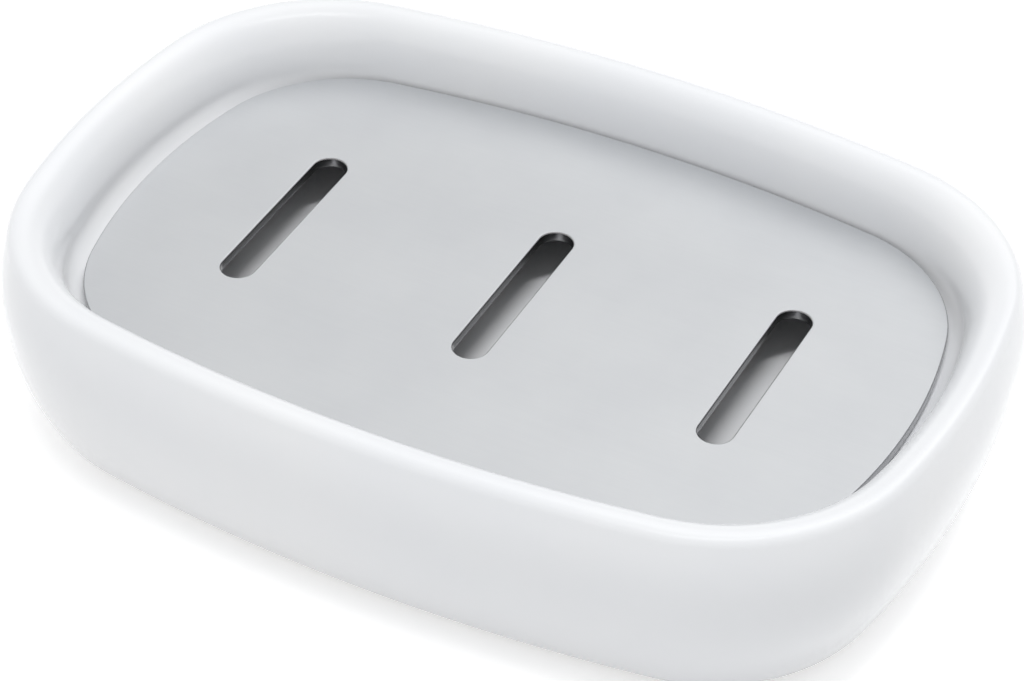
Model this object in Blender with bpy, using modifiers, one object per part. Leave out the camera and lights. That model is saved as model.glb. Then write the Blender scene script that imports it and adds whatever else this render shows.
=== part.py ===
"""Soap dish: a glazed ceramic dish with a lift-out steel draining plate.

Metres, +Z up. The origin is on the surface the dish stands on, under its middle.
+X runs along the dish, and +Y points away from the front long side.
"""
import math
from collections import namedtuple

import bmesh
import bpy
from mathutils import Vector

# Plan of the dish at its widest level: long sides, short ends and corners are arcs
DISH_LENGTH = 0.1300
DISH_WIDTH = 0.0910
SIDE_RADIUS = 0.2560
END_RADIUS = 0.1100
CORNER_RADIUS = 0.0285

# Wall: how far the widest level lies below the rim, how far the rounded base and the
# rounded rim lie in from it, and how much less far the rim lies in at the ends
BODY_HEIGHT = 0.0292
WIDEST_DROP = 0.0086
BASE_RADIUS = 0.0060
BASE_SET_IN = 0.00375
RIM_OUTER_RADIUS = 0.0018
RIM_SET_IN = 0.0014
RIM_END_SHIFT = 0.0008

# Recess that the plate lies in: its wall's foot, measured in from the widest level. The
# wall falls in one curve from the rim's top to the fillet: a power of 2 makes it elliptic,
# and a higher one fuller at the rim and steeper below
RECESS_DEPTH = 0.0109
RECESS_END_INSET = 0.0072
RECESS_SIDE_INSET = 0.0074
RECESS_SIDE_RADIUS = 0.2320
RECESS_END_RADIUS = 0.0775
RECESS_CORNER_CUT = 0.0051
RECESS_SIDE_POWER = 2.4
RECESS_END_POWER = 2.0
FILLET_HEIGHT = 0.0030
FILLET_SIDE_REACH = 0.0009
FILLET_END_REACH = 0.0034

# Ledge under the plate's edge, and the basin that catches the water
LEDGE_WIDTH = 0.0060
LEDGE_EDGE_RADIUS = 0.0010
BASIN_DEPTH = 0.0062
BASIN_DRAFT = 0.0012
BASIN_FILLET = 0.0035

# Underside: a flat foot ring round a shallow hollow
FOOT_LAND = 0.0009
FOOT_EDGE_RADIUS = 0.0008
UNDERSIDE_DEPTH = 0.0025
UNDERSIDE_FILLET = 0.0012

# Draining plate: its gaps to the recess's outline, and the place of its outer slots
PLATE_THICKNESS = 0.0015
PLATE_BACK_GAP = 0.0006
PLATE_FRONT_GAP = 0.0022
PLATE_END_GAP = 0.0024
PLATE_EDGE_BREAK = 0.00025
SLOT_COUNT = 3
SLOT_END_MARGIN = 0.0210
SLOT_LENGTH = 0.0288
SLOT_WIDTH = 0.0047

# Anti-slip pads, each in a shallow round socket in the foot ring
PAD_DIAMETER = 0.0070
PAD_STANDOUT = 0.0008
PAD_EDGE_RADIUS = 0.0003
SOCKET_DEPTH = 0.0008
SOCKET_CLEARANCE = 0.0003

# Gap kept between pieces that rest on each other, and the least radius left to a corner
SEAT_GAP = 0.0003
LEAST_CORNER_RADIUS = 0.0010

# Facets: steps along the arcs in a quarter of an outline, and round small circles
END_STEPS = 4
CORNER_STEPS = 9
SIDE_STEPS = 5
ROUND_STEPS = 32
SLOT_END_STEPS = 10

# Facets: steps along the arcs of the wall section and of the small edges
FOOT_STEPS = 2
BASE_STEPS = 5
LOWER_WALL_STEPS = 5
UPPER_WALL_STEPS = 3
RIM_STEPS = 5
RECESS_STEPS = 9
FILLET_STEPS = 3
LEDGE_STEPS = 3
BASIN_STEPS = 4
PLATE_EDGE_STEPS = 1
PAD_EDGE_STEPS = 2

# Edges sharper than this stay sharp in smooth shading; closer points are one point
SHARP_ANGLE = math.radians(35)
WELD_DISTANCE = 0.00001

# Plain colours and roughness of the pieces
CERAMIC_COLOR = (0.86, 0.87, 0.89, 1.0)
CERAMIC_ROUGHNESS = 0.12
STEEL_COLOR = (0.60, 0.60, 0.59, 1.0)
STEEL_ROUGHNESS = 0.36
RUBBER_COLOR = (0.80, 0.80, 0.79, 1.0)
RUBBER_ROUGHNESS = 0.60

# A closed outline of three kinds of arc, each meeting the next along one tangent
Outline = namedtuple("Outline", "half_length half_width side_radius end_radius corner_radius")


def inset_outline(outline, inset, end_inset=None):
    """The same outline moved in, by one distance or by another one at its ends."""
    end_inset = inset if end_inset is None else end_inset
    return Outline(
        outline.half_length - end_inset,
        outline.half_width - inset,
        outline.side_radius - inset,
        outline.end_radius - end_inset,
        max(outline.corner_radius - end_inset, LEAST_CORNER_RADIUS),
    )


WIDEST = Outline(DISH_LENGTH / 2, DISH_WIDTH / 2, SIDE_RADIUS, END_RADIUS, CORNER_RADIUS)
RECESS = Outline(
    DISH_LENGTH / 2 - RECESS_END_INSET,
    DISH_WIDTH / 2 - RECESS_SIDE_INSET,
    RECESS_SIDE_RADIUS,
    RECESS_END_RADIUS,
    CORNER_RADIUS - RECESS_CORNER_CUT,
)
PLATE_SIDE_GAP = (PLATE_FRONT_GAP + PLATE_BACK_GAP) / 2
PLATE_SHIFT = (PLATE_FRONT_GAP - PLATE_BACK_GAP) / 2
PLATE = inset_outline(RECESS, PLATE_SIDE_GAP, PLATE_END_GAP)
LEDGE = inset_outline(RECESS, FILLET_SIDE_REACH, FILLET_END_REACH)

LEDGE_HEIGHT = BODY_HEIGHT - RECESS_DEPTH
BASIN_FLOOR_HEIGHT = LEDGE_HEIGHT - BASIN_DEPTH
PLATE_BOTTOM = PAD_STANDOUT + LEDGE_HEIGHT + SEAT_GAP
BASE_INSET = BASE_SET_IN + BASE_RADIUS
RIM_INSET = RIM_SET_IN + RIM_OUTER_RADIUS
SOCKET_RADIUS = PAD_DIAMETER / 2 + SOCKET_CLEARANCE
FOOT_RING_WIDTH = 2 * (SOCKET_RADIUS + FOOT_LAND) + FOOT_EDGE_RADIUS
CREST = inset_outline(WIDEST, RIM_INSET, RIM_INSET - RIM_END_SHIFT)


def corner_arc(outline):
    """Centre of the corner arc, and the angles where it meets the end and the side."""
    side_centre = Vector((0, outline.half_width - outline.side_radius))
    end_centre = Vector((outline.half_length - outline.end_radius, 0))
    from_side = outline.side_radius - outline.corner_radius
    from_end = outline.end_radius - outline.corner_radius
    span = end_centre - side_centre
    along = (from_side**2 - from_end**2 + span.length_squared) / (2 * span.length)
    across = math.sqrt(from_side**2 - along**2)
    unit = span.normalized()
    centre = side_centre + unit * along - unit.orthogonal() * across
    to_end = centre - end_centre
    to_side = centre - side_centre
    return centre, math.atan2(to_end.y, to_end.x), math.atan2(to_side.y, to_side.x)


def arc_points(centre, radius, start, end, steps):
    """Points along an arc, with its first point and without its last."""
    angles = (start + (end - start) * step / steps for step in range(steps))
    return [(centre[0] + radius * math.cos(a), centre[1] + radius * math.sin(a)) for a in angles]


def outline_points(outline):
    """Plan points of an outline, anticlockwise from the middle of the +X end."""
    centre, end_angle, side_angle = corner_arc(outline)
    end_centre = (outline.half_length - outline.end_radius, 0)
    side_centre = (0, outline.half_width - outline.side_radius)
    quarter = arc_points(end_centre, outline.end_radius, 0, end_angle, END_STEPS)
    quarter += arc_points(centre, outline.corner_radius, end_angle, side_angle, CORNER_STEPS)
    quarter += arc_points(side_centre, outline.side_radius, side_angle, math.pi / 2, SIDE_STEPS)
    top = (0, outline.half_width)
    mirrored = [(-x, y) for x, y in reversed(quarter[1:])]
    half = quarter + [top] + mirrored
    return half + [(-x, -y) for x, y in half]


def slot_places():
    """Middles of the slots along X, spread evenly between the outer two."""
    reach = PLATE.half_length - SLOT_END_MARGIN
    pitch = 2 * reach / (SLOT_COUNT - 1)
    return [i * pitch - reach for i in range(SLOT_COUNT)]


def slot_points(centre_x):
    """Plan points of one slot, clockwise, because the slot is a hole."""
    radius = SLOT_WIDTH / 2
    reach = SLOT_LENGTH / 2 - radius
    points = arc_points((centre_x, reach), radius, math.pi, 0, SLOT_END_STEPS)
    points.append((centre_x + radius, reach))
    points += arc_points((centre_x, -reach), radius, 0, -math.pi, SLOT_END_STEPS)
    points.append((centre_x - radius, -reach))
    return points


def profile_arc(inset, height, radius, start, end, steps):
    """Points of an arc in a wall section, as insets and heights, with both ends.

    The angle is 0 on the outward side, 90 at the top and 180 on the inward side.
    """
    angles = (math.radians(start + (end - start) * step / steps) for step in range(steps + 1))
    return [(inset - radius * math.cos(a), height + radius * math.sin(a)) for a in angles]


def wall_arc(set_in, round_radius, rise):
    """Radius and sweep of a wall arc, upright at the widest level.

    It ends tangent to a rounding whose outermost point is set in by one distance and
    whose centre is higher or lower than the widest level by the rise.
    """
    radius = (set_in**2 + 2 * set_in * round_radius + rise**2) / (2 * set_in)
    return radius, math.degrees(math.asin(rise / (radius - round_radius)))


def between_outlines(first, last, share, end_share=None):
    """Outline part of the way between two outlines, by one share or by another at its ends."""
    end_share = share if end_share is None else end_share
    shares = Outline(end_share, share, share, end_share, end_share)
    return Outline(*(a + (b - a) * part for a, b, part in zip(first, last, shares)))


def base_section():
    """Wall section from the hollow underside, round the base and up to the widest level."""
    widest = BODY_HEIGHT - WIDEST_DROP
    lower_radius, drop = wall_arc(BASE_SET_IN, BASE_RADIUS, widest - BASE_RADIUS)
    hollow_edge = BASE_INSET + FOOT_RING_WIDTH + UNDERSIDE_FILLET
    hollow_height = UNDERSIDE_DEPTH - UNDERSIDE_FILLET
    foot_edge = BASE_INSET + FOOT_RING_WIDTH - FOOT_EDGE_RADIUS
    section = profile_arc(hollow_edge, hollow_height, UNDERSIDE_FILLET, 90, 0, FOOT_STEPS)
    section += profile_arc(foot_edge, FOOT_EDGE_RADIUS, FOOT_EDGE_RADIUS, 180, 270, FOOT_STEPS)
    section += profile_arc(BASE_INSET, BASE_RADIUS, BASE_RADIUS, -90, -drop, BASE_STEPS)
    section += profile_arc(lower_radius, widest, lower_radius, -drop, 0, LOWER_WALL_STEPS)[1:]
    return section


def rim_section():
    """Wall section from above the widest level up to the rim's top."""
    widest = BODY_HEIGHT - WIDEST_DROP
    radius, climb = wall_arc(RIM_SET_IN, RIM_OUTER_RADIUS, WIDEST_DROP - RIM_OUTER_RADIUS)
    outer = BODY_HEIGHT - RIM_OUTER_RADIUS
    section = profile_arc(radius, widest, radius, 0, climb, UPPER_WALL_STEPS)[1:]
    section += profile_arc(RIM_INSET, outer, RIM_OUTER_RADIUS, climb, 90, RIM_STEPS)[1:]
    return section


def recess_levels():
    """Outlines and heights from the rim's top, down the recess's wall and its fillet."""
    levels = []
    drop = RECESS_DEPTH - FILLET_HEIGHT
    for step in range(1, RECESS_STEPS + 1):
        turn = math.pi / 2 * step / RECESS_STEPS
        share = math.sin(turn) ** (2 / RECESS_SIDE_POWER)
        left = math.cos(turn) ** (2 / RECESS_SIDE_POWER)
        end_share = (1 - left**RECESS_END_POWER) ** (1 / RECESS_END_POWER)
        height = LEDGE_HEIGHT + FILLET_HEIGHT + drop * left
        levels.append((between_outlines(CREST, RECESS, share, end_share), height))
    for step in range(1, FILLET_STEPS + 1):
        turn = math.pi / 2 * step / FILLET_STEPS
        height = LEDGE_HEIGHT + FILLET_HEIGHT * (1 - math.sin(turn))
        levels.append((between_outlines(RECESS, LEDGE, 1 - math.cos(turn)), height))
    return levels


def basin_section():
    """Section of the ledge's edge and the basin, as insets from the recess's outline."""
    edge = LEDGE_WIDTH - LEDGE_EDGE_RADIUS
    edge_height = LEDGE_HEIGHT - LEDGE_EDGE_RADIUS
    toe = LEDGE_WIDTH + BASIN_DRAFT + BASIN_FILLET
    toe_height = BASIN_FLOOR_HEIGHT + BASIN_FILLET
    section = profile_arc(edge, edge_height, LEDGE_EDGE_RADIUS, 90, 180, LEDGE_STEPS)
    section += profile_arc(toe, toe_height, BASIN_FILLET, 0, -90, BASIN_STEPS)
    return section


def make_material(name, color, roughness, metallic):
    material = bpy.data.materials.new(name)
    material.use_nodes = True
    shader = material.node_tree.nodes["Principled BSDF"]
    shader.inputs["Base Color"].default_value = color
    shader.inputs["Roughness"].default_value = roughness
    shader.inputs["Metallic"].default_value = metallic
    return material


def add_object(name, data, collection, material=None):
    made = bpy.data.objects.new(name, data)
    if material:
        data.materials.append(material)
    collection.objects.link(made)
    return made


def finish_mesh(name, shape):
    """Turn an edited shape into a mesh that is shaded smooth between its sharp edges."""
    mesh = bpy.data.meshes.new(name)
    shape.to_mesh(mesh)
    shape.free()
    mesh.shade_smooth()
    mesh.set_sharp_from_angle(angle=SHARP_ANGLE)
    return mesh


def loft(name, rings):
    """Closed mesh through rings of equally many points, with a flat cap at each end."""
    shape = bmesh.new()
    levels = [[shape.verts.new(point) for point in ring] for ring in rings]
    count = len(levels[0])
    for lower, upper in zip(levels, levels[1:]):
        for i in range(count):
            j = (i + 1) % count
            shape.faces.new((lower[i], lower[j], upper[j], upper[i]))
    shape.faces.new(reversed(levels[0]))
    shape.faces.new(levels[-1])
    return finish_mesh(name, shape)


def disc_mesh(name, radius, height):
    """Upright cylinder about its own middle."""
    shape = bmesh.new()
    bmesh.ops.create_cone(
        shape,
        cap_ends=True,
        segments=ROUND_STEPS,
        radius1=radius,
        radius2=radius,
        depth=height,
    )
    return finish_mesh(name, shape)


def pad_places():
    """Centres of the pads on the foot ring, at the middle of each corner's arc."""
    track = inset_outline(WIDEST, BASE_INSET + FOOT_LAND + SOCKET_RADIUS)
    centre, end_angle, side_angle = corner_arc(track)
    angle = (end_angle + side_angle) / 2
    x = centre.x + track.corner_radius * math.cos(angle)
    y = centre.y + track.corner_radius * math.sin(angle)
    return {
        "front_right": (x, -y),
        "front_left": (-x, -y),
        "back_right": (x, y),
        "back_left": (-x, y),
    }


def build_dish(parts, cutters, material):
    """The ceramic dish, with a socket for each pad cut up into its foot ring."""
    levels = [(inset_outline(WIDEST, inset), height) for inset, height in base_section()]
    for inset, height in rim_section():
        levels.append((between_outlines(WIDEST, CREST, inset / RIM_INSET), height))
    levels += recess_levels()
    levels += [(inset_outline(RECESS, inset), height) for inset, height in basin_section()]
    rings = [[(x, y, height) for x, y in outline_points(plan)] for plan, height in levels]
    dish = add_object("dish_body", loft("dish_body", rings), parts, material)
    dish.location.z = PAD_STANDOUT
    for place, (x, y) in pad_places().items():
        socket_mesh = disc_mesh("socket_" + place, SOCKET_RADIUS, 2 * SOCKET_DEPTH)
        socket = add_object("socket_" + place, socket_mesh, cutters)
        socket.location = (x, y, PAD_STANDOUT)
        socket.hide_render = True
        socket.display_type = "WIRE"
        cut = dish.modifiers.new("socket_" + place, "BOOLEAN")
        cut.operation = "DIFFERENCE"
        cut.solver = "EXACT"
        cut.object = socket


def build_plate(parts, material):
    """The draining plate: a flat outline with slots, its edges just broken."""
    curve = bpy.data.curves.new("drain_plate", "CURVE")
    curve.dimensions = "2D"
    curve.fill_mode = "BOTH"
    curve.extrude = PLATE_THICKNESS / 2 - PLATE_EDGE_BREAK
    curve.bevel_depth = PLATE_EDGE_BREAK
    curve.bevel_resolution = PLATE_EDGE_STEPS
    curve.offset = -PLATE_EDGE_BREAK
    for points in [outline_points(PLATE)] + [slot_points(x) for x in slot_places()]:
        spline = curve.splines.new("POLY")
        spline.points.add(len(points) - 1)
        for point, (x, y) in zip(spline.points, points):
            point.co = (x, y, 0, 1)
        spline.use_cyclic_u = True
    plate = add_object("drain_plate", curve, parts, material)
    plate.location = (0, PLATE_SHIFT, PLATE_BOTTOM + PLATE_THICKNESS / 2)
    weld = plate.modifiers.new("weld", "WELD")
    weld.merge_threshold = WELD_DISTANCE


def build_pads(parts, material):
    """Four pads that stand a little proud of the foot ring."""
    height = PAD_STANDOUT + SOCKET_DEPTH - SEAT_GAP
    mesh = disc_mesh("foot_pad", PAD_DIAMETER / 2, height)
    mesh.materials.append(material)
    for place, (x, y) in pad_places().items():
        pad = add_object("foot_pad_" + place, mesh, parts)
        pad.location = (x, y, height / 2)
        rounding = pad.modifiers.new("rounded_edges", "BEVEL")
        rounding.width = PAD_EDGE_RADIUS
        rounding.segments = PAD_EDGE_STEPS


def main():
    for old in list(bpy.data.objects):
        bpy.data.objects.remove(old)
    parts = bpy.data.collections.new("soap_dish")
    cutters = bpy.data.collections.new("cutters")
    for collection in (parts, cutters):
        bpy.context.scene.collection.children.link(collection)
    ceramic = make_material("glazed_ceramic", CERAMIC_COLOR, CERAMIC_ROUGHNESS, 0.0)
    steel = make_material("brushed_steel", STEEL_COLOR, STEEL_ROUGHNESS, 1.0)
    rubber = make_material("pad_rubber", RUBBER_COLOR, RUBBER_ROUGHNESS, 0.0)
    build_dish(parts, cutters, ceramic)
    build_plate(parts, steel)
    build_pads(parts, rubber)


main()
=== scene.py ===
"""Looks of the soap dish: glazed ceramic, brushed steel and rubber, a studio and the camera.

Metres, +Z up. The origin is on the floor under the middle of the dish.
"""
import math
from collections import namedtuple

import bmesh
import bpy
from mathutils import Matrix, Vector


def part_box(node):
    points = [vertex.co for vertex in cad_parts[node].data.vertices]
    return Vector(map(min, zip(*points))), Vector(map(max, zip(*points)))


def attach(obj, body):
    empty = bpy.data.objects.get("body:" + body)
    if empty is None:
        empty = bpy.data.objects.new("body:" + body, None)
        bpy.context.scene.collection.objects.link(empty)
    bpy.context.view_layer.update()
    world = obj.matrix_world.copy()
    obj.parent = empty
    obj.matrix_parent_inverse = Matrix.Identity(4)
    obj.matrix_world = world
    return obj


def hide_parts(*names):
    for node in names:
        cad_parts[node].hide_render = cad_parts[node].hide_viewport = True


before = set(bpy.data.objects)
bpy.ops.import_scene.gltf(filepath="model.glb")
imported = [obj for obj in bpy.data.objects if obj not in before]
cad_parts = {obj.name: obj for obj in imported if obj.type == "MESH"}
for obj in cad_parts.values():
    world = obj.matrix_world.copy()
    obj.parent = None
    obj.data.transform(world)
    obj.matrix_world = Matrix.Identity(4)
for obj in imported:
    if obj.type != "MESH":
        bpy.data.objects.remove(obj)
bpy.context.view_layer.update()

# The frame's boxes, which give the sizes that show outside
dish_low, dish_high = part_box("dish_body")
plate_low, plate_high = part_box("drain_plate")
pad_low, pad_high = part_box("foot_pad_back_right")

# Plan of the dish: radii of its long sides, short ends and corners
SIDE_RADIUS = 0.2560
END_RADIUS = 0.1100
CORNER_RADIUS = 0.0285

# Wall section: the widest level's depth under the rim, the rounded base and rim, and
# how much less far the rim lies in at the ends
WIDEST_DROP = 0.0086
BASE_RADIUS = 0.0060
BASE_SET_IN = 0.00375
RIM_OUTER_RADIUS = 0.0018
RIM_SET_IN = 0.0014
RIM_END_SHIFT = 0.0008

# Recess, ledge and basin inside the wall
RECESS_END_INSET = 0.0072
RECESS_SIDE_INSET = 0.0074
RECESS_SIDE_RADIUS = 0.2320
RECESS_END_RADIUS = 0.0775
RECESS_CORNER_CUT = 0.0051
RECESS_SIDE_POWER = 2.4
RECESS_END_POWER = 2.0
FILLET_HEIGHT = 0.0030
FILLET_SIDE_REACH = 0.0009
FILLET_END_REACH = 0.0034
LEDGE_WIDTH = 0.0060
LEDGE_EDGE_RADIUS = 0.0010
BASIN_DEPTH = 0.0062
BASIN_DRAFT = 0.0012
BASIN_FILLET = 0.0035
SEAT_GAP = 0.0003

# Underside, and the sockets that the pads sit in
FOOT_LAND = 0.0009
FOOT_EDGE_RADIUS = 0.0008
UNDERSIDE_DEPTH = 0.0025
UNDERSIDE_FILLET = 0.0012
SOCKET_CLEARANCE = 0.0003

# Plate: its slots, and the rounded edge that punching and brushing leave
SLOT_COUNT = 3
SLOT_END_MARGIN = 0.0210
SLOT_LENGTH = 0.0288
SLOT_WIDTH = 0.0047
PLATE_EDGE_BREAK = 0.00025

# Angles over which an edge stays sharp, and the distance under which the plate's points merge
GLAZE_SHARP_ANGLE = math.radians(40.0)
STEEL_SHARP_ANGLE = math.radians(30.0)
MERGE_DISTANCE = 0.000005

# Steps along the arcs of a quarter of an outline, round small circles, and along the section
END_STEPS = 14
CORNER_STEPS = 30
SIDE_STEPS = 20
ROUND_STEPS = 64
SLOT_END_STEPS = 32
FOOT_STEPS = 5
BASE_STEPS = 14
LOWER_WALL_STEPS = 20
UPPER_WALL_STEPS = 12
RIM_STEPS = 14
RECESS_STEPS = 40
FILLET_STEPS = 12
LEDGE_STEPS = 8
BASIN_STEPS = 12
PLATE_EDGE_STEPS = 3

# Longest gap between two rings of the dish's skin
FLAT_STEP = 0.0012

# Camera: its direction from the dish, the point it looks at, distance, roll and lens
CAMERA_AZIMUTH = math.radians(26.5666)
CAMERA_ELEVATION = math.radians(39.8797)
CAMERA_ROLL = math.radians(1.1432)
CAMERA_DISTANCE = 0.4346
LOOK_AT = Vector((0.00413, -0.00774, plate_high.z))
CAMERA_LENS = 119.54
CAMERA_SENSOR = 36.0
CAMERA_NEAREST = 0.01
CAMERA_FARTHEST = 20.0

# Plan of one level of the dish or of the plate
Outline = namedtuple("Outline", "half_length half_width side_radius end_radius corner_radius")


def inset_outline(outline, inset, end_inset=None):
    """The same outline moved in, by one distance or by another one at its ends."""
    end_inset = inset if end_inset is None else end_inset
    return Outline(
        outline.half_length - end_inset,
        outline.half_width - inset,
        outline.side_radius - inset,
        outline.end_radius - end_inset,
        outline.corner_radius - end_inset,
    )


WIDEST = Outline(dish_high.x, dish_high.y, SIDE_RADIUS, END_RADIUS, CORNER_RADIUS)
RECESS = Outline(
    dish_high.x - RECESS_END_INSET,
    dish_high.y - RECESS_SIDE_INSET,
    RECESS_SIDE_RADIUS,
    RECESS_END_RADIUS,
    CORNER_RADIUS - RECESS_CORNER_CUT,
)
LEDGE = inset_outline(RECESS, FILLET_SIDE_REACH, FILLET_END_REACH)
PLATE_MIDDLE = (plate_low + plate_high) / 2
PLATE_END_GAP = RECESS.half_length - plate_high.x
PLATE_SIDE_GAP = RECESS.half_width - (plate_high.y - plate_low.y) / 2
PLATE = inset_outline(RECESS, PLATE_SIDE_GAP, PLATE_END_GAP)
BODY_HEIGHT = dish_high.z - dish_low.z
LEDGE_HEIGHT = plate_low.z - SEAT_GAP - dish_low.z
RECESS_DEPTH = BODY_HEIGHT - LEDGE_HEIGHT
BASIN_FLOOR_HEIGHT = LEDGE_HEIGHT - BASIN_DEPTH
BASE_INSET = BASE_SET_IN + BASE_RADIUS
RIM_INSET = RIM_SET_IN + RIM_OUTER_RADIUS
PAD_RADIUS = (pad_high.x - pad_low.x) / 2
SOCKET_RADIUS = PAD_RADIUS + SOCKET_CLEARANCE
SOCKET_TOP = pad_high.z + SEAT_GAP
FOOT_RING_WIDTH = 2 * (SOCKET_RADIUS + FOOT_LAND) + FOOT_EDGE_RADIUS
CREST = inset_outline(WIDEST, RIM_INSET, RIM_INSET - RIM_END_SHIFT)


def corner_arc(outline):
    """Centre of the corner arc, and the angles where it meets the end and the side."""
    side_centre = Vector((0, outline.half_width - outline.side_radius))
    end_centre = Vector((outline.half_length - outline.end_radius, 0))
    from_side = outline.side_radius - outline.corner_radius
    from_end = outline.end_radius - outline.corner_radius
    span = end_centre - side_centre
    along = (from_side**2 - from_end**2 + span.length_squared) / (2 * span.length)
    across = math.sqrt(from_side**2 - along**2)
    unit = span.normalized()
    centre = side_centre + unit * along - unit.orthogonal() * across
    to_end = centre - end_centre
    to_side = centre - side_centre
    return centre, math.atan2(to_end.y, to_end.x), math.atan2(to_side.y, to_side.x)


def arc_points(centre, radius, start, end, steps):
    """Points along an arc, with its first point and without its last."""
    angles = (start + (end - start) * step / steps for step in range(steps))
    return [(centre[0] + radius * math.cos(a), centre[1] + radius * math.sin(a)) for a in angles]


def outline_points(outline):
    """Plan points of an outline, anticlockwise from the middle of the +X end."""
    centre, end_angle, side_angle = corner_arc(outline)
    end_centre = (outline.half_length - outline.end_radius, 0)
    side_centre = (0, outline.half_width - outline.side_radius)
    quarter = arc_points(end_centre, outline.end_radius, 0, end_angle, END_STEPS)
    quarter += arc_points(centre, outline.corner_radius, end_angle, side_angle, CORNER_STEPS)
    quarter += arc_points(side_centre, outline.side_radius, side_angle, math.pi / 2, SIDE_STEPS)
    top = (0, outline.half_width)
    mirrored = [(-x, y) for x, y in reversed(quarter[1:])]
    half = quarter + [top] + mirrored
    return half + [(-x, -y) for x, y in half]


def slot_places():
    """Middles of the slots along X, spread evenly between the outer two."""
    reach = PLATE.half_length - SLOT_END_MARGIN
    pitch = 2 * reach / (SLOT_COUNT - 1)
    return [i * pitch - reach for i in range(SLOT_COUNT)]


def slot_points(centre_x):
    """Plan points of one slot, clockwise, because the slot is a hole."""
    radius = SLOT_WIDTH / 2
    reach = SLOT_LENGTH / 2 - radius
    points = arc_points((centre_x, reach), radius, math.pi, 0, SLOT_END_STEPS)
    points.append((centre_x + radius, reach))
    points += arc_points((centre_x, -reach), radius, 0, -math.pi, SLOT_END_STEPS)
    points.append((centre_x - radius, -reach))
    return points


def profile_arc(inset, height, radius, start, end, steps):
    """Points of an arc in a wall section, as insets and heights, with both ends.

    The angle is 0 on the outward side, 90 at the top and 180 on the inward side.
    """
    angles = (math.radians(start + (end - start) * step / steps) for step in range(steps + 1))
    return [(inset - radius * math.cos(a), height + radius * math.sin(a)) for a in angles]


def wall_arc(set_in, round_radius, rise):
    """Radius and sweep of a wall arc, upright at the widest level and tangent at its end."""
    radius = (set_in**2 + 2 * set_in * round_radius + rise**2) / (2 * set_in)
    return radius, math.degrees(math.asin(rise / (radius - round_radius)))


def between_outlines(first, last, share, end_share=None):
    """Outline part of the way between two outlines, by one share or by another at its ends."""
    end_share = share if end_share is None else end_share
    shares = Outline(end_share, share, share, end_share, end_share)
    return Outline(*(a + (b - a) * part for a, b, part in zip(first, last, shares)))


def base_section():
    """Wall section from the hollow underside, round the base and up to the widest level."""
    widest = BODY_HEIGHT - WIDEST_DROP
    lower_radius, drop = wall_arc(BASE_SET_IN, BASE_RADIUS, widest - BASE_RADIUS)
    hollow_edge = BASE_INSET + FOOT_RING_WIDTH + UNDERSIDE_FILLET
    hollow_height = UNDERSIDE_DEPTH - UNDERSIDE_FILLET
    foot_edge = BASE_INSET + FOOT_RING_WIDTH - FOOT_EDGE_RADIUS
    section = profile_arc(hollow_edge, hollow_height, UNDERSIDE_FILLET, 90, 0, FOOT_STEPS)
    section += profile_arc(foot_edge, FOOT_EDGE_RADIUS, FOOT_EDGE_RADIUS, 180, 270, FOOT_STEPS)
    section += profile_arc(BASE_INSET, BASE_RADIUS, BASE_RADIUS, -90, -drop, BASE_STEPS)
    section += profile_arc(lower_radius, widest, lower_radius, -drop, 0, LOWER_WALL_STEPS)[1:]
    return section


def rim_section():
    """Wall section from above the widest level up to the rim's top."""
    widest = BODY_HEIGHT - WIDEST_DROP
    radius, climb = wall_arc(RIM_SET_IN, RIM_OUTER_RADIUS, WIDEST_DROP - RIM_OUTER_RADIUS)
    outer = BODY_HEIGHT - RIM_OUTER_RADIUS
    section = profile_arc(radius, widest, radius, 0, climb, UPPER_WALL_STEPS)[1:]
    section += profile_arc(RIM_INSET, outer, RIM_OUTER_RADIUS, climb, 90, RIM_STEPS)[1:]
    return section


def recess_levels():
    """Outlines and heights from the rim's top, down the recess's wall and its fillet."""
    levels = []
    drop = RECESS_DEPTH - FILLET_HEIGHT
    for step in range(1, RECESS_STEPS + 1):
        turn = math.pi / 2 * step / RECESS_STEPS
        share = math.sin(turn) ** (2 / RECESS_SIDE_POWER)
        left = math.cos(turn) ** (2 / RECESS_SIDE_POWER)
        end_share = (1 - left**RECESS_END_POWER) ** (1 / RECESS_END_POWER)
        height = LEDGE_HEIGHT + FILLET_HEIGHT + drop * left
        levels.append((between_outlines(CREST, RECESS, share, end_share), height))
    for step in range(1, FILLET_STEPS + 1):
        turn = math.pi / 2 * step / FILLET_STEPS
        height = LEDGE_HEIGHT + FILLET_HEIGHT * (1 - math.sin(turn))
        levels.append((between_outlines(RECESS, LEDGE, 1 - math.cos(turn)), height))
    return levels


def basin_section():
    """Section of the ledge's edge and the basin, as insets from the recess's outline."""
    edge = LEDGE_WIDTH - LEDGE_EDGE_RADIUS
    edge_height = LEDGE_HEIGHT - LEDGE_EDGE_RADIUS
    toe = LEDGE_WIDTH + BASIN_DRAFT + BASIN_FILLET
    toe_height = BASIN_FLOOR_HEIGHT + BASIN_FILLET
    section = profile_arc(edge, edge_height, LEDGE_EDGE_RADIUS, 90, 180, LEDGE_STEPS)
    section += profile_arc(toe, toe_height, BASIN_FILLET, 0, -90, BASIN_STEPS)
    return section


def between(first, last):
    """Rings between two neighbouring rings, close enough for even faces."""
    gap = max((Vector(a) - Vector(b)).length for a, b in zip(first, last))
    count = int(gap / FLAT_STEP)
    rings = []
    for step in range(1, count + 1):
        share = step / (count + 1)
        rings.append([Vector(a).lerp(Vector(b), share) for a, b in zip(first, last)])
    return rings


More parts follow.
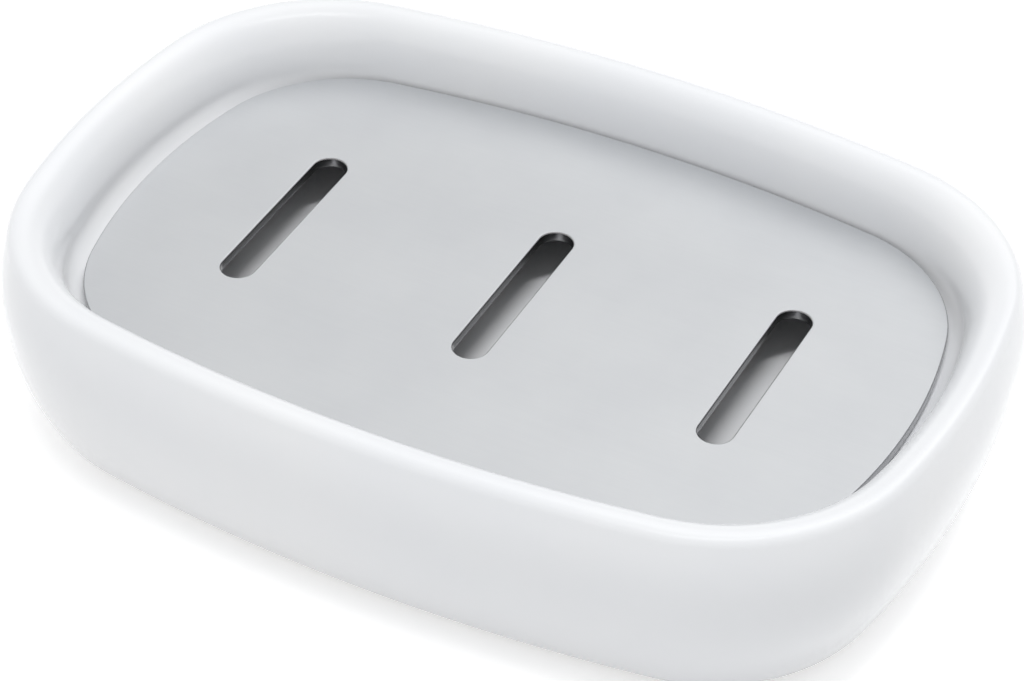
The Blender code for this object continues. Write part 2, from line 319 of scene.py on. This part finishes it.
def dish_rings():
    """Rings of points over the whole skin of the dish, from the underside to the basin."""
    levels = [(inset_outline(WIDEST, inset), height) for inset, height in base_section()]
    for inset, height in rim_section():
        levels.append((between_outlines(WIDEST, CREST, inset / RIM_INSET), height))
    levels += recess_levels()
    levels += [(inset_outline(RECESS, inset), height) for inset, height in basin_section()]
    rings = []
    for plan, height in levels:
        ring = [(x, y, height + dish_low.z) for x, y in outline_points(plan)]
        if rings:
            rings += between(rings[-1], ring)
        rings.append(ring)
    return rings


def mesh_from_rings(name, rings, sharp_angle):
    """Closed mesh through rings of equally many points, with a flat cap at each end."""
    shape = bmesh.new()
    levels = [[shape.verts.new(point) for point in ring] for ring in rings]
    count = len(levels[0])
    for lower, upper in zip(levels, levels[1:]):
        for i in range(count):
            j = (i + 1) % count
            shape.faces.new((lower[i], lower[j], upper[j], upper[i]))
    shape.faces.new(reversed(levels[0]))
    shape.faces.new(levels[-1])
    mesh = bpy.data.meshes.new(name)
    shape.to_mesh(mesh)
    shape.free()
    mesh.shade_smooth()
    mesh.set_sharp_from_angle(angle=sharp_angle)
    return mesh


def add_piece(name, mesh, material):
    """A new object in the scene, with one material."""
    piece = bpy.data.objects.new(name, mesh)
    mesh.materials.clear()
    mesh.materials.append(material)
    bpy.context.scene.collection.objects.link(piece)
    return piece


def evaluated_mesh(source, name):
    """The mesh that an object with modifiers, or a curve, shows."""
    graph = bpy.context.evaluated_depsgraph_get()
    mesh = bpy.data.meshes.new_from_object(source.evaluated_get(graph))
    mesh.name = name
    return mesh


def socket_cutter(node):
    """An upright cylinder that clears one pad and reaches up to its socket's top."""
    low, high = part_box(node)
    middle = (low + high) / 2
    shape = bmesh.new()
    bmesh.ops.create_cone(
        shape,
        cap_ends=True,
        segments=ROUND_STEPS,
        radius1=SOCKET_RADIUS,
        radius2=SOCKET_RADIUS,
        depth=2 * SOCKET_TOP,
    )
    mesh = bpy.data.meshes.new("socket")
    shape.to_mesh(mesh)
    shape.free()
    cutter = bpy.data.objects.new("socket_cutter", mesh)
    cutter.location = (middle.x, middle.y, 0)
    bpy.context.scene.collection.objects.link(cutter)
    return cutter


def build_dish(material, pads):
    """The glazed dish, smooth all over, with the pads' sockets cut into its foot ring."""
    rough_mesh = mesh_from_rings("dish_rough", dish_rings(), GLAZE_SHARP_ANGLE)
    rough_out = bpy.data.objects.new("dish_rough", rough_mesh)
    bpy.context.scene.collection.objects.link(rough_out)
    cutters = [socket_cutter(node) for node in pads]
    for cutter in cutters:
        cut = rough_out.modifiers.new("socket", "BOOLEAN")
        cut.operation = "DIFFERENCE"
        cut.solver = "EXACT"
        cut.object = cutter
    dish = add_piece("glazed_dish", evaluated_mesh(rough_out, "glazed_dish"), material)
    for scrap in cutters + [rough_out]:
        bpy.data.objects.remove(scrap)
    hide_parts("dish_body")
    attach(dish, "dish")


def build_plate(material):
    """The draining plate, with round slot ends and softly broken edges."""
    curve = bpy.data.curves.new("plate", "CURVE")
    curve.dimensions = "2D"
    curve.fill_mode = "BOTH"
    curve.extrude = (plate_high.z - plate_low.z) / 2 - PLATE_EDGE_BREAK
    curve.bevel_depth = PLATE_EDGE_BREAK
    curve.bevel_resolution = PLATE_EDGE_STEPS
    curve.offset = -PLATE_EDGE_BREAK
    for points in [outline_points(PLATE)] + [slot_points(x) for x in slot_places()]:
        spline = curve.splines.new("POLY")
        spline.points.add(len(points) - 1)
        for point, (x, y) in zip(spline.points, points):
            point.co = (x, y, 0, 1)
        spline.use_cyclic_u = True
    holder = bpy.data.objects.new("plate", curve)
    bpy.context.scene.collection.objects.link(holder)
    mesh = evaluated_mesh(holder, "steel_plate")
    bpy.data.objects.remove(holder)
    shape = bmesh.new()
    shape.from_mesh(mesh)
    bmesh.ops.remove_doubles(shape, verts=shape.verts, dist=MERGE_DISTANCE)
    bmesh.ops.translate(shape, verts=shape.verts, vec=PLATE_MIDDLE)
    shape.to_mesh(mesh)
    shape.free()
    mesh.shade_smooth()
    mesh.set_sharp_from_angle(angle=STEEL_SHARP_ANGLE)
    plate = add_piece("steel_plate", mesh, material)
    flat_faces = plate.modifiers.new("flat_faces", "WEIGHTED_NORMAL")
    flat_faces.keep_sharp = True
    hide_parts("drain_plate")
    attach(plate, "plate")


class Nodes:
    """A material's or world's node tree, with short calls to add and join nodes."""

    def __init__(self, owner):
        owner.use_nodes = True
        self.tree = owner.node_tree

    def add(self, kind, inputs=None, **settings):
        """A new node, with its inputs joined to sockets or set to values."""
        node = self.tree.nodes.new(kind)
        for name, value in settings.items():
            setattr(node, name, value)
        for name, value in (inputs or {}).items():
            if isinstance(value, bpy.types.NodeSocket):
                self.tree.links.new(value, node.inputs[name])
            else:
                node.inputs[name].default_value = value
        return node

    def join(self, source, node, name):
        """Join a socket to an input of a node."""
        self.tree.links.new(source, node.inputs[name])

    def math(self, operation, first, second):
        """Result of one operation on two numbers."""
        node = self.add("ShaderNodeMath", {0: first, 1: second}, operation=operation)
        return node.outputs[0]

    def ramp(self, value, low, high, to_low=0.0, to_high=1.0):
        """A value that climbs from one number to another between two limits."""
        inputs = {"Value": value, "From Min": low, "From Max": high}
        inputs.update({"To Min": to_low, "To Max": to_high})
        return self.add("ShaderNodeMapRange", inputs).outputs["Result"]

    def mix_number(self, share, first, second):
        """Number part of the way from one number to another."""
        inputs = {"Factor": share, "A": first, "B": second}
        return self.add("ShaderNodeMix", inputs).outputs[0]

    def mix_color(self, share, first, second):
        """Colour part of the way from one colour to another."""
        node = self.add("ShaderNodeMix", data_type="RGBA")
        for name, value in (("Factor_Float", share), ("A_Color", first), ("B_Color", second)):
            socket = next(s for s in node.inputs if s.identifier == name)
            if isinstance(value, bpy.types.NodeSocket):
                self.tree.links.new(value, socket)
            else:
                socket.default_value = value
        return next(s for s in node.outputs if s.identifier == "Result_Color")

    def noise(self, place, scale, detail=2.0, roughness=0.5):
        """Soft noise around one half, with its scale in waves to the metre."""
        inputs = {"Vector": place, "Scale": scale, "Detail": detail, "Roughness": roughness}
        return self.add("ShaderNodeTexNoise", inputs).outputs["Fac"]

    def bump(self, height, strength, distance, normal=None):
        """Normal that a height gives, over a surface or over another bump."""
        inputs = {"Strength": strength, "Distance": distance, "Height": height}
        if normal is not None:
            inputs["Normal"] = normal
        return self.add("ShaderNodeBump", inputs).outputs[0]


def new_material(name):
    """A new material, its nodes, its shader and the place on the object in metres."""
    material = bpy.data.materials.new(name)
    nodes = Nodes(material)
    shader = nodes.tree.nodes["Principled BSDF"]
    place = nodes.add("ShaderNodeTexCoord").outputs["Object"]
    return material, nodes, shader, place


# Glaze: two close whites, and how polished and how clear it is
GLAZE_WHITE = (0.88, 0.89, 0.905, 1.0)
GLAZE_COOL = (0.85, 0.865, 0.89, 1.0)
GLAZE_ROUGHNESS = (0.15, 0.22)
GLAZE_IOR = 1.52
COAT_WEIGHT = 0.15
COAT_ROUGHNESS = 0.12

# Waves to the metre of the glaze's tint, polish, soft waves and fine peel, and their heights
TINT_SCALE = 28.0
POLISH_SCALE = 60.0
WAVE_SCALE = 75.0
WAVE_STRENGTH = 0.35
WAVE_HEIGHT = 0.0002
PEEL_SCALE = 700.0
PEEL_STRENGTH = 0.25
PEEL_HEIGHT = 0.00001

# Small dark specks: the cells that may hold one, how few of them do, and a speck's reach
SPECK = (0.28, 0.27, 0.26, 1.0)
SPECK_STRENGTH = 0.8
SPECK_CELLS = 95.0
SPECK_RARITY = 0.94
SPECK_REACH = 0.022

# Bare foot ring under the glaze's lower edge
BISQUE_DARK = (0.72, 0.69, 0.64, 1.0)
BISQUE_LIGHT = (0.80, 0.78, 0.74, 1.0)
BISQUE_ROUGHNESS = 0.85
BISQUE_SCALE = 2600.0
GLAZE_LINE_HEIGHT = 0.0004
GLAZE_LINE_SCALE = 350.0
GLAZE_LINE_WANDER = 0.0002
GLAZE_LINE_BLUR = 0.0001


def glazed_ceramic():
    """White glaze with soft waves and a few specks, and a bare foot ring that stood in the kiln."""
    material, nodes, shader, place = new_material("glazed_ceramic")
    tone = nodes.ramp(nodes.noise(place, TINT_SCALE, detail=3.0), low=0.35, high=0.65)
    glaze = nodes.mix_color(tone, GLAZE_WHITE, GLAZE_COOL)
    cells = nodes.add("ShaderNodeTexVoronoi", {"Vector": place, "Scale": SPECK_CELLS})
    chosen = nodes.add("ShaderNodeSeparateColor", {"Color": cells.outputs["Color"]})
    rare = nodes.math("GREATER_THAN", chosen.outputs[0], SPECK_RARITY)
    dot = nodes.math("LESS_THAN", cells.outputs["Distance"], SPECK_REACH)
    speck = nodes.math("MULTIPLY", rare, dot)
    glaze = nodes.mix_color(nodes.math("MULTIPLY", speck, SPECK_STRENGTH), glaze, SPECK)
    height = nodes.add("ShaderNodeSeparateXYZ", {"Vector": place}).outputs["Z"]
    wander = nodes.noise(place, GLAZE_LINE_SCALE)
    wander = nodes.ramp(wander, 0.0, 1.0, -GLAZE_LINE_WANDER, GLAZE_LINE_WANDER)
    line = nodes.math("ADD", height, wander)
    bare_top = dish_low.z + GLAZE_LINE_HEIGHT
    bare = nodes.ramp(line, bare_top, bare_top + GLAZE_LINE_BLUR, 1.0, 0.0)
    grain = nodes.noise(place, BISQUE_SCALE, detail=3.0)
    bisque = nodes.mix_color(grain, BISQUE_DARK, BISQUE_LIGHT)
    nodes.join(nodes.mix_color(bare, glaze, bisque), shader, "Base Color")
    polish = nodes.noise(place, POLISH_SCALE, detail=3.0)
    polish = nodes.ramp(polish, 0.3, 0.7, *GLAZE_ROUGHNESS)
    nodes.join(nodes.mix_number(bare, polish, BISQUE_ROUGHNESS), shader, "Roughness")
    waves = nodes.bump(nodes.noise(place, WAVE_SCALE), WAVE_STRENGTH, WAVE_HEIGHT)
    peel = nodes.bump(nodes.noise(place, PEEL_SCALE), PEEL_STRENGTH, PEEL_HEIGHT, waves)
    nodes.join(peel, shader, "Normal")
    shader.inputs["IOR"].default_value = GLAZE_IOR
    shader.inputs["Coat Weight"].default_value = COAT_WEIGHT
    shader.inputs["Coat Roughness"].default_value = COAT_ROUGHNESS
    return material


# Steel: two close greys on the brushed faces, a darker one on the cut edges and the underside
# (partly the cut edges' duller finish, partly painted shade under and beside the plate), and its
# roughness
STEEL_LIGHT = (0.79, 0.805, 0.82, 1.0)
STEEL_DARK = (0.745, 0.76, 0.78, 1.0)
STEEL_CUT_AND_SHADE = (0.36, 0.36, 0.37, 1.0)
STEEL_ROUGHNESS = (0.54, 0.57)
CUT_ROUGHNESS = 0.22

# How far up a face looks where the darker grey of cut finish and painted shade ends, and where the
# brushed top is full
UP_FACE_START = 0.75
UP_FACE_FULL = 0.95

# Brushing along X: waves to the metre of its fine lines and strands, and of the sheet's clouds
BRUSH_STRETCH = (0.03, 1.0, 1.0)
LINE_SCALE = 4200.0
LINE_SHARE = 0.20
LINE_STRENGTH = 0.3
LINE_HEIGHT = 0.00001
STRAND_SCALE = 900.0
CLOUD_SCALE = 55.0
CLOUD_SHARE = 0.80


def brushed_steel():
    """Satin steel, brushed along the plate, with faint clouds in the sheet."""
    material, nodes, shader, place = new_material("brushed_steel")
    mapping = nodes.add("ShaderNodeMapping", {"Vector": place, "Scale": BRUSH_STRETCH})
    stretched = mapping.outputs[0]
    lines = nodes.noise(stretched, LINE_SCALE, detail=4.0, roughness=0.6)
    strands = nodes.noise(stretched, STRAND_SCALE, detail=3.0)
    clouds = nodes.noise(place, CLOUD_SCALE, detail=4.0, roughness=0.55)
    tone = nodes.math("MULTIPLY", lines, LINE_SHARE)
    tone = nodes.math("ADD", tone, nodes.math("MULTIPLY", clouds, CLOUD_SHARE))
    color = nodes.mix_color(nodes.ramp(tone, low=0.3, high=0.7), STEEL_DARK, STEEL_LIGHT)
    facing = nodes.add("ShaderNodeNewGeometry").outputs["True Normal"]
    upward = nodes.add("ShaderNodeSeparateXYZ", {"Vector": facing}).outputs["Z"]
    up_face = nodes.ramp(upward, UP_FACE_START, UP_FACE_FULL)
    # Faces that don't look up get the darker grey: the cut edges' duller finish, with painted shade
    # on the underside and in the gap at the plate's edge
    nodes.join(nodes.mix_color(up_face, STEEL_CUT_AND_SHADE, color), shader, "Base Color")
    satin = nodes.ramp(strands, 0.25, 0.75, *STEEL_ROUGHNESS)
    nodes.join(nodes.mix_number(up_face, CUT_ROUGHNESS, satin), shader, "Roughness")
    shader.inputs["Metallic"].default_value = 1.0
    nodes.join(nodes.bump(lines, LINE_STRENGTH, LINE_HEIGHT), shader, "Normal")
    return material


# Rubber: two close greys, its roughness, and the grain that its mould leaves
RUBBER_LIGHT = (0.80, 0.80, 0.79, 1.0)
RUBBER_DARK = (0.70, 0.70, 0.69, 1.0)
RUBBER_ROUGHNESS = (0.55, 0.70)
GRAIN_SCALE = 1500.0
GRAIN_STRENGTH = 0.4
GRAIN_HEIGHT = 0.00003


def pad_rubber():
    """Off-white silicone rubber with a fine moulded grain."""
    material, nodes, shader, place = new_material("pad_rubber")
    grain = nodes.noise(place, GRAIN_SCALE, detail=3.0)
    nodes.join(nodes.mix_color(grain, RUBBER_DARK, RUBBER_LIGHT), shader, "Base Color")
    nodes.join(nodes.ramp(grain, 0.2, 0.8, *RUBBER_ROUGHNESS), shader, "Roughness")
    nodes.join(nodes.bump(grain, GRAIN_STRENGTH, GRAIN_HEIGHT), shader, "Normal")
    return material


WHITE = (1.0, 1.0, 1.0, 1.0)

# Floor: how far it reaches, its paint, and what it adds for the camera and in reflections
FLOOR_REACH = 3.0
FLOOR_COLOR = (0.80, 0.80, 0.80, 1.0)
FLOOR_ROUGHNESS = 0.9
FLOOR_LIFT = 0.50

# Sky: its strength near the floor and half way up on each side, and overhead, with the
# heights, from 0 at the horizon to 1 straight up, where each of the three is reached
SKY_LOW = {"front": 0.70, "right": 0.43, "back": 0.54, "left": 0.87}
SKY_MIDDLE = {"front": 0.86, "right": 0.50, "back": 0.34, "left": 0.54}
SKY_TOP = 0.50
LOW_HEIGHT = 0.10
MIDDLE_HEIGHT = 0.50
TOP_HEIGHT = 0.85

# Soft glows behind the dish, which the plate reflects: azimuth and elevation in degrees, and
# strength. A glow is full inside its core and ends at its edge.
GLOWS = ((150.0, 50.0, 0.62), (182.0, 51.0, 1.00))
GLOW_CORE = math.radians(6.0)
GLOW_EDGE = math.radians(28.0)

# Light overhead, as two lamps in one place: their length and width, and their power in watts.
# Only the weaker one shows in reflections, so that the plate stays grey from above.
LAMP_PLACE = (0.10, -0.07, 0.90)
LAMP_SIZE = (0.60, 0.08)
LAMP_SOFT_POWER = 2.45
LAMP_SHINE_POWER = 1.05


def seen_directly(nodes):
    """1 for camera, glossy and transmission rays, and 0 for the rest."""
    path = nodes.add("ShaderNodeLightPath").outputs
    shown = nodes.math("MAXIMUM", path["Is Glossy Ray"], path["Is Transmission Ray"])
    return nodes.math("MAXIMUM", path["Is Camera Ray"], shown)


def build_floor():
    """A large pale floor that keeps the dish's shadow and reads as white where it is lit."""
    shape = bmesh.new()
    bmesh.ops.create_grid(shape, x_segments=1, y_segments=1, size=FLOOR_REACH)
    mesh = bpy.data.meshes.new("floor")
    shape.to_mesh(mesh)
    shape.free()
    material = bpy.data.materials.new("floor_paint")
    nodes = Nodes(material)
    shader = nodes.tree.nodes["Principled BSDF"]
    shader.inputs["Base Color"].default_value = FLOOR_COLOR
    shader.inputs["Roughness"].default_value = FLOOR_ROUGHNESS
    shader.inputs["Specular IOR Level"].default_value = 0.0
    shader.inputs["Emission Color"].default_value = WHITE
    lift = nodes.math("MULTIPLY", seen_directly(nodes), FLOOR_LIFT)
    nodes.join(lift, shader, "Emission Strength")
    add_piece("floor", mesh, material)


def direction(azimuth, elevation):
    """Unit vector away from the dish, with azimuth 0 in front and both angles in radians."""
    flat = math.cos(elevation)
    return Vector((math.sin(azimuth) * flat, -math.cos(azimuth) * flat, math.sin(elevation)))


# Sides of the sky, each with the axis and the sign that point to it
SIDES = {"front": ("Y", -1), "right": ("X", 1), "back": ("Y", 1), "left": ("X", -1)}

# Least total of the sides' squares, which keeps it off zero straight up
LEAST_TOTAL = 0.000001


def side_shares(nodes, sight):
    """How far a direction points to each side, as shares that add up to one."""
    axes = nodes.add("ShaderNodeSeparateXYZ", {"Vector": sight}).outputs
    squares = {}
    for side, (axis, sign) in SIDES.items():
        reach = nodes.math("MAXIMUM", nodes.math("MULTIPLY", axes[axis], sign), 0.0)
        squares[side] = nodes.math("MULTIPLY", reach, reach)
    total = 0.0
    for square in squares.values():
        total = nodes.math("ADD", square, total)
    total = nodes.math("MAXIMUM", total, LEAST_TOTAL)
    return {side: nodes.math("DIVIDE", square, total) for side, square in squares.items()}


def ring_strength(nodes, shares, strengths):
    """Strength of one height of the sky, which changes softly from side to side."""
    light = 0.0
    for side, strength in strengths.items():
        light = nodes.math("ADD", nodes.math("MULTIPLY", shares[side], strength), light)
    return light


def build_sky():
    """A studio sky of soft light that changes with the height and the side, and two glows."""
    world = bpy.data.worlds.new("studio")
    bpy.context.scene.world = world
    nodes = Nodes(world)
    background = nodes.tree.nodes["Background"]
    background.inputs["Color"].default_value = WHITE
    sight = nodes.add("ShaderNodeTexCoord").outputs["Generated"]
    shares = side_shares(nodes, sight)
    height = nodes.add("ShaderNodeSeparateXYZ", {"Vector": sight}).outputs["Z"]
    low = ring_strength(nodes, shares, SKY_LOW)
    low = nodes.ramp(seen_directly(nodes), 0.0, 1.0, low, 1.0)
    middle = ring_strength(nodes, shares, SKY_MIDDLE)
    light = nodes.ramp(height, LOW_HEIGHT, MIDDLE_HEIGHT, low, middle)
    light = nodes.ramp(height, MIDDLE_HEIGHT, TOP_HEIGHT, light, SKY_TOP)
    outer = math.cos(GLOW_EDGE)
    inner = math.cos(GLOW_CORE)
    for azimuth, elevation, strength in GLOWS:
        centre = direction(math.radians(azimuth), math.radians(elevation))
        inputs = {0: sight, 1: centre}
        near_glow = nodes.add("ShaderNodeVectorMath", inputs, operation="DOT_PRODUCT")
        glow = nodes.ramp(near_glow.outputs["Value"], outer, inner, 0.0, strength)
        light = nodes.math("ADD", light, glow)
    camera = nodes.add("ShaderNodeLightPath").outputs["Is Camera Ray"]
    nodes.join(nodes.mix_number(camera, light, 1.0), background, "Strength")


def add_lamp(name, place, size, watts, mirrored):
    """A rectangular soft lamp, as long as its size in X, that shines at the dish."""
    data = bpy.data.lights.new(name, "AREA")
    data.shape = "RECTANGLE"
    data.size, data.size_y = size
    data.energy = watts
    lamp = bpy.data.objects.new(name, data)
    lamp.location = place
    lamp.rotation_mode = "QUATERNION"
    lamp.rotation_quaternion = Vector(place).to_track_quat("Z", "Y")
    lamp.visible_glossy = mirrored
    bpy.context.scene.collection.objects.link(lamp)


def build_camera():
    """The photograph's view."""
    back = direction(CAMERA_AZIMUTH, CAMERA_ELEVATION)
    right = (-back).cross(Vector((0, 0, 1))).normalized()
    up = back.cross(right)
    camera_x = right * math.cos(CAMERA_ROLL) + up * math.sin(CAMERA_ROLL)
    camera_y = up * math.cos(CAMERA_ROLL) - right * math.sin(CAMERA_ROLL)
    data = bpy.data.cameras.new("camera")
    data.lens = CAMERA_LENS
    data.sensor_width = CAMERA_SENSOR
    data.clip_start = CAMERA_NEAREST
    data.clip_end = CAMERA_FARTHEST
    camera = bpy.data.objects.new("camera", data)
    matrix = camera.matrix_world.to_3x3()
    for row in range(3):
        matrix[row] = (camera_x[row], camera_y[row], back[row])
    camera.matrix_world = matrix.to_4x4()
    camera.location = LOOK_AT + back * CAMERA_DISTANCE
    bpy.context.scene.collection.objects.link(camera)
    bpy.context.scene.camera = camera


bpy.context.scene.view_settings.view_transform = "Standard"
pad_nodes = [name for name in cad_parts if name.startswith("foot_pad")]
build_dish(glazed_ceramic(), pad_nodes)
build_plate(brushed_steel())
rubber = pad_rubber()
for pad_name in pad_nodes:
    for pad_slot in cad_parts[pad_name].material_slots:
        pad_slot.material = rubber
build_floor()
build_sky()
add_lamp("top_lamp_soft", LAMP_PLACE, LAMP_SIZE, LAMP_SOFT_POWER, False)
add_lamp("top_lamp_shine", LAMP_PLACE, LAMP_SIZE, LAMP_SHINE_POWER, True)
build_camera()
